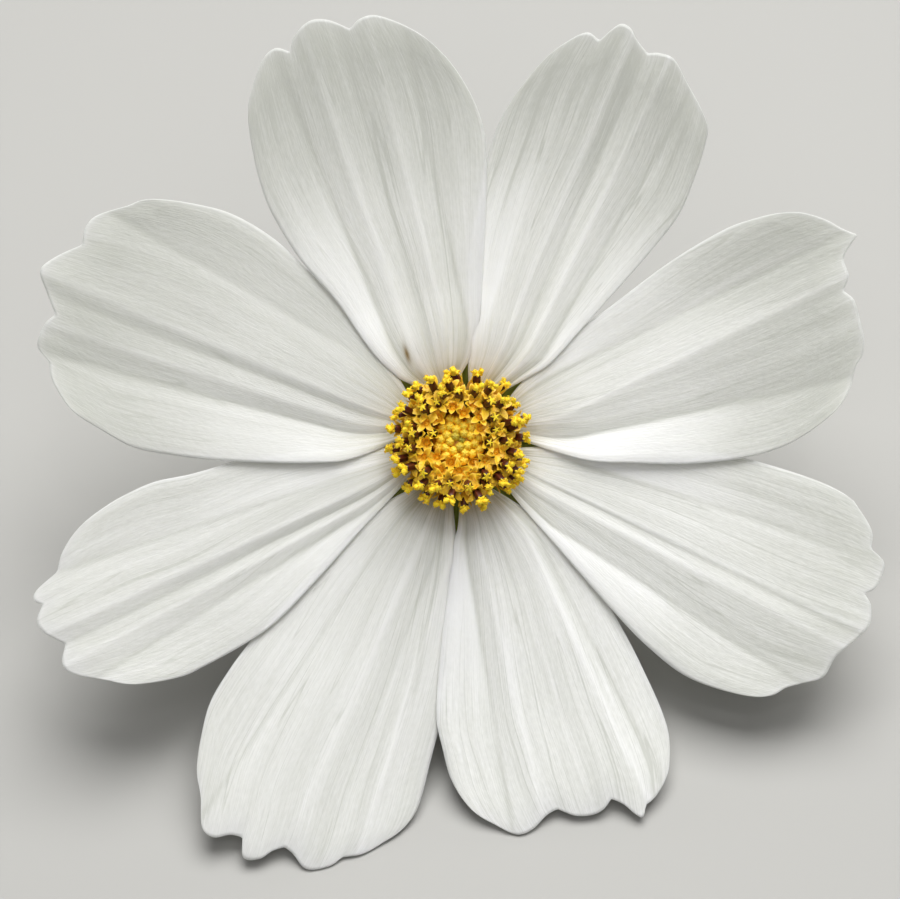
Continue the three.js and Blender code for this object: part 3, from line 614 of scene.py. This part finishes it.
def petal_skin(number):
    """Velvety white petal skin. Fine veins run along the blade, greyer between white ribs towards the
    claw, with a cream-green tint there. Ridges of the pleats get a painted highlight and valleys painted
    shade, the tips of the upper petals are greyed by painted shade, and lapped margins, outer strips and
    edges are whitened by painted highlight."""
    made, tree = blank_material(f"velvety_white_petal_{number}")
    uv = add(tree, "UVMap", uv_map="blade").outputs["UV"]
    grains = []
    for across, out, detail in SKIN_GRAINS:
        place = add(tree, "Mapping", {"Vector": uv, "Location": (number * 13.7, number * 5.3, 0),
                                      "Scale": (across, out, 1)})
        grains.append(add(tree, "TexNoise", {"Vector": place.outputs["Vector"], "Scale": 1.0,
                                             "Detail": detail}, noise_dimensions="2D").outputs["Fac"])
    broad, stripes, threads, crinkles, lines = grains
    veins = ramp(tree, lines, [(0.487, "#000000"), (0.499, "#bbbbbb"), (0.501, "#bbbbbb"),
                               (0.513, "#000000")])
    v = add(tree, "SeparateXYZ", {"Vector": uv}).outputs["Y"]
    # towards the tip the blade is greyed by painted shade, its share set per petal
    far = ramp(tree, v, [(0.5, "#000000"), (0.92, "#ffffff")])
    # the grey adds up from broad streaks, fine threads, crinkles and vein lines, with painted shade
    # in the valleys and at the tip and painted highlight on the ridges
    greyness_and_shade = scaled(tree, broad, 0.8, -0.3)
    for layer, share in ((threads, 0.8), (crinkles, 0.5), (veins, 1.1), (marked(tree, "fold_shading"), -0.4),
                         (far, PETAL_TIP_SHADES[number - 1])):
        greyness_and_shade = scaled(tree, layer, share, greyness_and_shade)
    greyness_and_shade = scaled(tree, greyness_and_shade, 1.0, -0.4, clamped=True)
    ribbed = ramp(tree, stripes, [(0.36, "#ffffff"), (0.58, "#000000")])
    claw = ramp(tree, v, [(0.02, "#e0e0e0"), (0.1, "#808080"), (0.24, "#2c2c2c"), (0.5, "#000000")])
    tint = scaled(tree, claw, scaled(tree, ribbed, 0.85, 0.15))
    colour = blended(tree, greyness_and_shade, PETAL_WHITES[number - 1], PETAL_GREY_AND_SHADE)
    # painted highlight where margins lap, on the outer strips and along the rim; the claw tint and scar
    # are the petal's own colour
    for share, other in ((marked(tree, "pale"), PAINTED_HIGHLIGHT_WHITE), (tint, PETAL_BASE),
                         (scaled(tree, marked(tree, "rim"), 0.25), RIM_HIGHLIGHT_WHITE),
                         (marked(tree, "scar"), SCAR_BROWN)):
        colour = blended(tree, share, colour, other)
    surface(tree, {"Base Color": colour, "Roughness": 0.68, "Specular IOR Level": 0.35,
                   "Sheen Weight": 0.15, "Subsurface Weight": 0.7,
                   "Subsurface Radius": (0.8, 0.8, 0.75), "Subsurface Scale": 0.5 * MM,
                   "Normal": relief(tree, scaled(tree, threads, 0.5, crinkles), 0.4, 0.07)})
    return made


for number, (axis, petal) in enumerate(zip(PETAL_AXES, PETALS), start=1):
    blade = petal_sheet(petal, number)
    bmesh.ops.transform(blade, matrix=spoke(axis), verts=blade.verts)
    for vert in blade.verts:
        vert.co.z = max(vert.co.z, PETAL_THICKNESS * MM / 2)
    ray = piece(f"ray_petal_{number}", blade, [petal_skin(number)])
    ray.vertex_groups.new(name="body")
    wall = thicken(ray, PETAL_THICKNESS)
    wall.vertex_group = "body"
    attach(ray, "root")
    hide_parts(f"petal_{number}")

# ------------------------------------------------
# Open florets. Thirty-three small tubular flowers in a golden-angle spiral round the disc. Each has a
# yellow corolla with five pointed lobes, a ribbed maroon tube of anthers that leans outwards, and a
# star of pollen on top. The older ones, further out, carry two pollen-covered style arms.
GOLDEN_ANGLE = 137.508
BUD_COUNT, CENTRE_COUNT, FLORET_COUNT = 28, 50, 83
STALK_STEP, TOP_STEP, TOP_SPREAD = 0.44, 0.43, 0.72       # how the spiral widens from floret to floret
FLORET_FOOT = -1.9
BEND_START = 1.5                  # how far up its stalk an open floret starts to bend outwards
LOBES = 5
FILM_THICKNESS = 0.05
UNRIPE_GREEN = "#8f9030"
random.seed(12)


def floret_place(i):
    """The angle, foot radius and top radius of a floret, and how far it has opened."""
    step = math.sqrt(i + 0.5)
    opened = max(0, step - math.sqrt(BUD_COUNT))
    return GOLDEN_ANGLE * i, STALK_STEP * step, TOP_STEP * step + TOP_SPREAD * opened, opened


def stalk_place(angle, low):
    """A place in the head at that angle round the disc."""
    return HEAD @ Matrix.Rotation(math.radians(angle), 4, "Z") @ Matrix.Translation(low)


def lobe(angle):
    """1 at the middle of a lobe and 0 at the notch between two."""
    return 1 - abs(2 * ((angle * LOBES / math.tau) % 1) - 1)


def mark(made, name, value):
    """Writes a number on each point of a part, for its material to read."""
    layer = made.verts.layers.float.get(name) or made.verts.layers.float.new(name)
    for vert in made.verts:
        vert[layer] = value(vert) if callable(value) else value


def film(made):
    """Gives a surface the wall of thin tissue."""
    bmesh.ops.solidify(made, geom=made.faces[:], thickness=FILM_THICKNESS)
    bmesh.ops.recalc_face_normals(made, faces=made.faces[:])
    return made


def plain_ring(radius, height):
    return lambda angle: (radius, height)


def corolla(length, throat, opening, lobe_length):
    """A slender tube that swells to a throat and splits into five pointed lobes, no two the same. An
    opening of 0 leaves the lobes closed over the mouth and 1 spreads them flat."""
    longer = [random.uniform(0.78, 1.12) for _ in range(LOBES)]
    raised = [random.uniform(-0.15, 0.4) for _ in range(LOBES)]
    reach = lobe_length * (-0.42 + 1.3 * opening)
    rise = lobe_length * (0.85 - 0.6 * opening)

    def lobes(s):
        def ring(angle):
            number = int(angle * LOBES / math.tau % LOBES)
            share = s * lobe(angle) ** 0.9
            up = rise + raised[number] * lobe_length
            curl = 0.3 * lobe_length * opening * share ** 3
            hollow = 0.16 * s * (1 - lobe(angle))
            return throat + reach * longer[number] * share + 0.012 * s, length + up * share - curl + hollow
        return ring

    tube = [(0.17, 0), (0.2, 0.35), (0.23, 0.6), (throat * 0.72, 0.82), (throat, 1)]
    rings = [plain_ring(radius, length * share) for radius, share in tube]
    made = sleeve(40, rings + [lobes(s) for s in (0.2, 0.45, 0.75, 1)])
    mark(made, "ripe", lambda vert: lobe_ripeness(vert.co, length, throat, lobe_length))
    return film(made)


def lobe_ripeness(place, length, throat, lobe_length):
    """Below 0 down the tube, 0 in the throat and rising to 1 at the edges of the lobes. There the
    corolla's yellow is lighter, a painted highlight.
    """
    if place.z < length - 0.02:
        return (place.z - length) / length
    past = math.hypot(math.hypot(place.x, place.y) - throat, place.z - length) / lobe_length
    return min(1, (past / (lobe(math.atan2(place.y, place.x)) + 0.15)) ** 2)


def anther_tube(length, radius):
    """Five anthers joined edge to edge in a ribbed tube, with a seam between every two."""
    def ring(share, width):
        def at(angle):
            seam = (1 - lobe(angle)) ** 4
            return radius * width * (1 - 0.12 * seam + 0.05 * math.cos(2 * LOBES * angle)), length * share
        return at
    made = sleeve(40, [ring(s, w) for s, w in ((0, 0.7), (0.12, 0.92), (0.5, 1), (0.85, 0.97), (1, 0.8))])
    mark(made, "ripe", lambda vert: 4.5 * (math.hypot(vert.co.x, vert.co.y) / radius - 0.97)
         + 0.9 * max(0, vert.co.z / length - 0.6))
    return close_ends(made)


def pollen_star(radius, plump):
    """The five pale tips of the anthers, spread in a star. Plump ones are thick with pollen."""
    def ring(share, height, pointed):
        def at(angle):
            wide = 1 - (pointed - 0.3 * plump) * (1 - lobe(angle) ** 1.5)
            return radius * share * wide, height * (1 + plump)
        return at
    made = sleeve(40, [ring(0.5, -0.08, 0.4), ring(0.95, 0.02, 0.74), ring(1.0, 0.07, 0.76),
                       ring(0.8, 0.12, 0.7), ring(0.3, 0.13, 0.4)])
    mark(made, "ripe", 1.0)
    return close_ends(made)


def style_arm(length, thickness, curl, lumps):
    """A curled arm, club-shaped with the pollen that clings to it."""
    def ring(share, width):
        return lambda angle: (thickness * width * (1 + 0.22 * noise.noise(
            (math.cos(angle) * 1.6, math.sin(angle) * 1.6 + lumps, share * 5))), length * share)
    widths = ((0, 0.35), (0.15, 0.45), (0.35, 0.75), (0.55, 1), (0.75, 1.05), (0.9, 0.85), (1, 0.4))
    made = close_ends(sleeve(14, [ring(s, w) for s, w in widths]))
    mark(made, "ripe", 1.0)
    bend(made, 0, curl / length)
    return made


def bend(made, start, turn):
    """Curls the part above a height towards +X, by that many radians for each millimetre."""
    for vert in made.verts:
        past = vert.co.z - start
        if past > 0 and turn:
            angle, across = past * turn, 1 / turn - vert.co.x
            vert.co.x = 1 / turn - across * math.cos(angle)
            vert.co.z = start + across * math.sin(angle)


def grains(count, radius, depth):
    """Loose pollen grains scattered through a round patch of that depth."""
    made = bmesh.new()
    for _ in range(count):
        angle, away = random.uniform(0, math.tau), radius * math.sqrt(random.random())
        place = Matrix.Translation((away * math.cos(angle), away * math.sin(angle),
                                    random.uniform(-depth, depth)))
        bmesh.ops.create_icosphere(made, subdivisions=1, radius=random.uniform(0.04, 0.075), matrix=place)
    mark(made, "ripe", lambda vert: 0.75 + 0.25 * math.sin(9 * vert.co.x + 7 * vert.co.y))
    return made


def gather(whole, part, place, slot_number):
    """Adds a part to a piece, in its place and with its own material."""
    bmesh.ops.transform(part, matrix=place, verts=part.verts)
    for face in part.faces:
        face.material_index = slot_number
        face.smooth = True
    carried = bpy.data.meshes.new("carried")
    part.to_mesh(carried)
    part.free()
    whole.from_mesh(carried)
    bpy.data.meshes.remove(carried)


def ripe_material(name, stops, roughness, grain_mm, relief_strength, glow):
    """Floret tissue whose colour follows how far along the floret a point lies, with a fine grain. Parts
    marked green are tinted with it."""
    made, tree = blank_material(name)
    grain = mottling(tree, grain_mm, 3.0)
    spread = scaled(tree, grain, 0.3, -0.15)
    where = scaled(tree, scaled(tree, marked(tree, "ripe"), 0.5, 0.5), 1.0, spread, clamped=True)
    tinted = blended(tree, marked(tree, "green"), ramp(tree, where, stops), UNRIPE_GREEN)
    surface(tree, {"Base Color": tinted, "Roughness": roughness,
                   "Subsurface Weight": glow, "Subsurface Radius": (1.0, 0.7, 0.2),
                   "Subsurface Scale": 0.25 * MM, "Normal": relief(tree, grain, relief_strength, 0.05)})
    return made


# the yellow lightens towards the lobe edges as a painted highlight; the greener tube is its own colour
corolla_yellow = ripe_material("golden_corolla", [(0.05, "#c3c77c"), (0.3, "#dcc456"), (0.44, "#f6c84a"),
                               (0.56, "#ffc830"), (0.75, "#ffcd26"), (1, "#ffdc3c")], 0.5, 0.5, 0.4, 0.2)
anther_maroon = ripe_material("maroon_anther_tube", [(0.2, "#220602"), (0.5, "#481305"), (0.75, "#6e320f"),
                              (1, "#9a6a2a")], 0.45, 0.3, 0.6, 0.0)
pollen_yellow = ripe_material("golden_pollen", [(0.6, "#f2ae18"), (0.82, "#fbc41c"), (1, "#ffdc2a")],
                              0.75, 0.25, 0.8, 0.3)


def open_floret(whole, angle, foot, age, full_length, turned, column_length, opening):
    """Adds an open floret to a piece. Its tube stands up, then bends outwards and a little aside. Older
    ones, with an age nearer 1, carry more pollen and two style arms."""
    stand = stalk_place(angle, (foot, 0, FLORET_FOOT)) @ Matrix.Rotation(0.03 + 0.06 * age, 4, "Y")
    stand = stand @ Matrix.Rotation(random.uniform(-0.4, 0.4), 4, "Z")
    turn = (turned + random.uniform(-0.14, 0.14)) / (full_length - BEND_START)
    cup = corolla(full_length - column_length + 0.25, random.uniform(0.46, 0.52), opening,
                  random.uniform(1.15, 1.5))
    column = anther_tube(column_length, random.uniform(0.35, 0.4))
    star = pollen_star(random.uniform(0.5, 0.62), 0.2 + 0.5 * age)
    spun = Matrix.Rotation(random.uniform(0, math.tau), 4, "Z")
    swivel = Matrix.Rotation(random.uniform(0, math.tau), 4, "Z")
    crown = Matrix.Translation((0, 0, full_length)) @ swivel
    parts = [(cup, spun, 0), (star, crown, 2),
             (column, Matrix.Translation((0, 0, full_length - column_length)) @ swivel, 1),
             (grains(round(8 + 32 * age), 0.4 + 0.1 * age, 0.06),
              crown @ Matrix.Translation((0, 0, 0.14)), 2)]
    for half_turn in (0, math.pi) if age > 0.3 else ():
        arm_length, thickness = random.uniform(0.6, 0.85), random.uniform(0.2, 0.26)
        swung = Matrix.Rotation(half_turn + random.uniform(-0.5, 0.5), 4, "Z")
        swung = crown @ swung @ Matrix.Rotation(0.35, 4, "Y")
        parts.append((style_arm(arm_length, thickness, 1.0, random.random() * 9), swung, 2))
        clinging = grains(34, thickness + 0.05, 0.3)
        bmesh.ops.translate(clinging, vec=(0.2, 0, arm_length * 0.6), verts=clinging.verts)
        parts.append((clinging, swung, 2))
    for part, place, slot_number in parts:
        bmesh.ops.transform(part, matrix=place, verts=part.verts)
        bend(part, BEND_START, turn)
        gather(whole, part, stand, slot_number)


floret_materials = [corolla_yellow, anther_maroon, pollen_yellow]
for i in range(CENTRE_COUNT, FLORET_COUNT):
    angle, foot, _, _ = floret_place(i)
    age = (i - CENTRE_COUNT) / (FLORET_COUNT - CENTRE_COUNT)
    floret = bmesh.new()
    open_floret(floret, angle, foot, age, full_length=random.uniform(6.65, 7.0) - 0.2 * age,
                turned=0.42 + 0.34 * age, column_length=random.uniform(1.55, 1.95),
                opening=random.uniform(0.6, 0.95))
    number = i - CENTRE_COUNT + 1
    disc_floret = piece(f"open_floret_{number:02d}", floret, floret_materials)
    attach(disc_floret, "root")
    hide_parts(f"disc_floret_{number:02d}")

# ------------------------------------------------
# Rim florets. Twenty-one more, the oldest, stand lower at the edge of the disc under the others and lean
# right out over the petals. They close the rim with their lobes and pollen. Same tissue, same parts.
RIM_COUNT = 21
RIM_RADIUS = 4.15                 # where their stalks stand
RIM_LENGTH, RIM_TURN, RIM_AGE = 5.3, 1.12, 0.9

rim = bmesh.new()
for i in range(RIM_COUNT):
    angle = 360 * (i + random.uniform(-0.25, 0.25)) / RIM_COUNT
    length = RIM_LENGTH + random.uniform(-0.35, 0.35)
    open_floret(rim, angle, RIM_RADIUS, RIM_AGE, full_length=length, turned=RIM_TURN,
                column_length=random.uniform(1.05, 1.35), opening=random.uniform(0.35, 0.65))
rim_florets = piece("rim_florets", rim, floret_materials)
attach(rim_florets, "root")
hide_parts(*[f"disc_floret_{n:02d}" for n in range(13, 34)])

# ------------------------------------------------
# Young florets. Twenty-two corollas round the buds that have just split into five lobes, half open near
# the buds and wide open further out. Here and there the tip of an anther tube shows inside. Between
# their stalks stand narrow straw scales that fill the disc down to the receptacle.
YOUNG_FOOT, YOUNG_TOP = 0.3, 4.2            # heights of a young floret's foot and of its mouth
CHAFF_FOOT, CHAFF_HALF_WIDTH, CHAFF_TURN = -2.15, 0.45, 20
CHAFF_GREEN, CHAFF_DARK, CHAFF_STRAW = "#868b44", "#c08a2a", "#ffc62a"


def leaning_place(angle, low, high):
    """A place whose +Z points from low to high, turned about it by chance."""
    stand = stalk_place(angle, low)
    stand = stand @ Matrix.Rotation(math.atan2(high.x - low.x, high.z - low.z), 4, "Y")
    return stand @ Matrix.Rotation(random.uniform(0, math.tau), 4, "Z")


def bud(radius):
    """A round bead of five closed lobes, with sunken seams that run up to its tip."""
    def ring(tilt):
        def at(angle):
            seam = (1 - lobe(angle)) ** 3 * max(0, math.sin(tilt) + 0.15)
            width = radius * math.cos(tilt) * (1 - 0.12 * seam) + 0.01
            return width, radius * (1.1 * math.sin(tilt) - 0.3 * seam * math.cos(tilt) ** 0.5)
        return at
    made = sleeve(30, [ring(math.radians(t)) for t in (-80, -50, -20, 5, 25, 40, 54, 68, 82)])
    # darker low on the bead and in its seams: painted shade, with the seams' deeper orange their own
    # colour
    mark(made, "ripe", lambda vert: vert.co.z / radius
         - 0.6 * (1 - lobe(math.atan2(vert.co.y, vert.co.x))) ** 3)
    return close_ends(made)


young = bmesh.new()
for i in range(BUD_COUNT, CENTRE_COUNT):
    angle, foot, top, opened = floret_place(i)
    age = (i - BUD_COUNT) / (CENTRE_COUNT - BUD_COUNT)
    low, high = Vector((foot * 0.85, 0, YOUNG_FOOT)), Vector((top, 0, YOUNG_TOP + 0.1 * opened))
    stand = leaning_place(angle, low, high)
    tube_length = (high - low).length - 0.8 + random.uniform(-0.12, 0.12)
    opening = min(1, 0.5 + 0.3 * age + random.uniform(-0.12, 0.18))
    cup = corolla(tube_length, random.uniform(0.4, 0.46), opening, random.uniform(1.35, 1.7))
    gather(young, cup, stand, 0)
    if random.random() < 0.1 + 0.4 * age:
        gather(young, anther_tube(1.6, 0.3), stand @ Matrix.Translation((0, 0, tube_length - 1.0)), 1)
        gather(young, pollen_star(0.45, 0), stand @ Matrix.Translation((0, 0, tube_length + 0.62)), 2)
    else:
        tips = bud(0.34)
        mark(tips, "ripe", 0.4)
        gather(young, tips, stand @ Matrix.Translation((0, 0, tube_length - 0.6)), 0)
for i in range(BUD_COUNT, FLORET_COUNT):
    angle, foot, _, opened = floret_place(i)
    stand = stalk_place(angle + CHAFF_TURN, (foot, 0, CHAFF_FOOT))
    for side, leaning in ((-1, 0.06), (1, 0.02)):
        tall = random.uniform(5.7, 6.5) - 0.3 * opened
        scale = sheet(2, 5, lambda u, v: Vector((
            0.12 * v * v, CHAFF_HALF_WIDTH * side + CHAFF_HALF_WIDTH * u * (1 - v ** 4), v * tall)))
        mark(scale, "ripe", lambda vert: vert.co.z / tall)
        gather(young, film(scale), stand @ Matrix.Rotation(leaning + 0.09 * opened, 4, "Y"), 3)
chaff = ripe_material("straw_chaff", [(0.5, CHAFF_GREEN), (0.72, CHAFF_DARK), (0.93, CHAFF_STRAW)],
                      0.6, 0.4, 0.4, 0.1)
young_florets = piece("young_florets", young, [corolla_yellow, anther_maroon, pollen_yellow, chaff])
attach(young_florets, "root")
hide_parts("disc_centre")

# ------------------------------------------------
# Buds. Twenty-eight closed florets packed on the dome in the middle of the disc, ochre, each a round
# bead whose five lobes still meet at the top. The newest, at the very middle, are small and greenish.
# the ochre runs from painted shade low on each bud and on the dome between them to a lighter top
BUD_OCHRE_AND_SHADE_STOPS = [(0.05, "#c07c1a"), (0.35, "#eead20"), (0.62, "#ffcc2c"), (1, "#ffe04a")]
DOME_PROFILE = [(2.4, -1.9), (2.55, -1.4), (2.68, -0.2), (2.75, 1.2), (2.6, 2.0), (2.3, 2.45), (1.8, 2.8),
                (1.3, 3.0), (0.6, 3.12)]

buds = bmesh.new()
dome = close_ends(sleeve(48, [plain_ring(radius, height) for radius, height in DOME_PROFILE]))
# the dome is seen only between the buds, darkened as painted shade
mark(dome, "ripe", -0.6)
gather(buds, dome, HEAD, 0)
for i in range(BUD_COUNT):
    angle, _, top, _ = floret_place(i)
    size = 0.43 + 0.05 * math.sqrt(i / BUD_COUNT)
    bud_height = 1.25 - 0.35 * max(0, 1 - i)
    low, high = Vector((top * 0.9, 0, 2.0 - 0.09 * top * top)), Vector((top, 0, 4))
    stand = leaning_place(angle, low, high)
    grown = bud(size)
    mark(grown, "green", 0.8 * max(0, 1 - i / 5))
    gather(buds, grown, stand @ Matrix.Translation((0, 0, bud_height)), 0)
bud_ochre = ripe_material("ochre_bud", BUD_OCHRE_AND_SHADE_STOPS, 0.5, 0.6, 0.3, 0.25)
disc_buds = piece("disc_buds", buds, [bud_ochre])
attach(disc_buds, "root")
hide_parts("disc_centre")

# ------------------------------------------------
# Ground and studio. A plain pale table, an overhead softbox and a soft room, and the camera square to
# the open face of the flower, looking down on it.
FLOOR_GREY, ROOM_WHITE, ROOM_LIGHT = "#b4b3af", "#eef0f2", 0.12
FLOOR_RADIUS = 3.0
# each softbox: its direction from the flower (right, up, out), distance, size and power
SOFTBOXES = [("overhead_softbox", (0.15, 1.5, 1), 0.9, 0.75, 12),
             ("front_fill", (0, 0.1, 1), 1.2, 0.8, 2.4)]
VIEW_DISTANCE, VIEW_WIDTH = 0.34, 0.0866    # the camera's distance, and its view's width at the flower
BEAM_DISTANCE, BEAM_RADIUS, BEAM_SOFTNESS, BEAM_POWER = 0.6, 0.03, 0.08, 5.5
AIM_LEFT, AIM_DOWN = 0.86, 0.90   # the flower's middle sits this far right of and above the view's middle

table = bmesh.new()
bmesh.ops.create_circle(table, cap_ends=True, segments=96, radius=FLOOR_RADIUS)
table_paint, tree = blank_material("matt_pale_table")
surface(tree, {"Base Color": FLOOR_GREY, "Roughness": 0.85,
               "Normal": relief(tree, mottling(tree, 2, 3.0), 0.1, 0.05)})
floor = piece("table_top", table, [table_paint])
floor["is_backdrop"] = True

scene = bpy.context.scene
scene.view_settings.view_transform = "Standard"
room = bpy.data.worlds.new("soft_room")
room.use_nodes = True
sky = room.node_tree.nodes["Background"].inputs
sky["Color"].default_value = linear(ROOM_WHITE)
sky["Strength"].default_value = ROOM_LIGHT
scene.world = room


def shine(lamp, direction, distance, power):
    """Sets a lamp that far from the middle of the flower, facing it."""
    lamp.energy = power
    thing = bpy.data.objects.new(lamp.name, lamp)
    thing.location = head_centre + direction.normalized() * distance
    thing.rotation_euler = direction.to_track_quat("Z", "Y").to_euler()
    scene.collection.objects.link(thing)


for name, direction, distance, size, power in SOFTBOXES:
    softbox = bpy.data.lights.new(name, "AREA")
    softbox.size = size
    shine(softbox, facing @ Vector(direction), distance, power)

# a soft narrow beam lifts the middle of the flower
beam = bpy.data.lights.new("disc_beam", "SPOT")
beam.spot_size = 2 * math.atan(BEAM_RADIUS / BEAM_DISTANCE)
beam.spot_blend = 1.0
beam.shadow_soft_size = BEAM_SOFTNESS
shine(beam, facing @ Vector((0.1, 0.35, 1)), BEAM_DISTANCE, BEAM_POWER)

lens = bpy.data.cameras.new("view_camera")
lens.lens = lens.sensor_width * VIEW_DISTANCE / VIEW_WIDTH
lens.clip_start, lens.clip_end = 0.01, 20
camera = bpy.data.objects.new("view_camera", lens)
aim = HEAD @ Vector((-AIM_LEFT, -AIM_DOWN, 0))
camera.matrix_world = Matrix.Translation(aim + outward * VIEW_DISTANCE) @ facing
scene.collection.objects.link(camera)
scene.camera = camera

low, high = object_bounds()
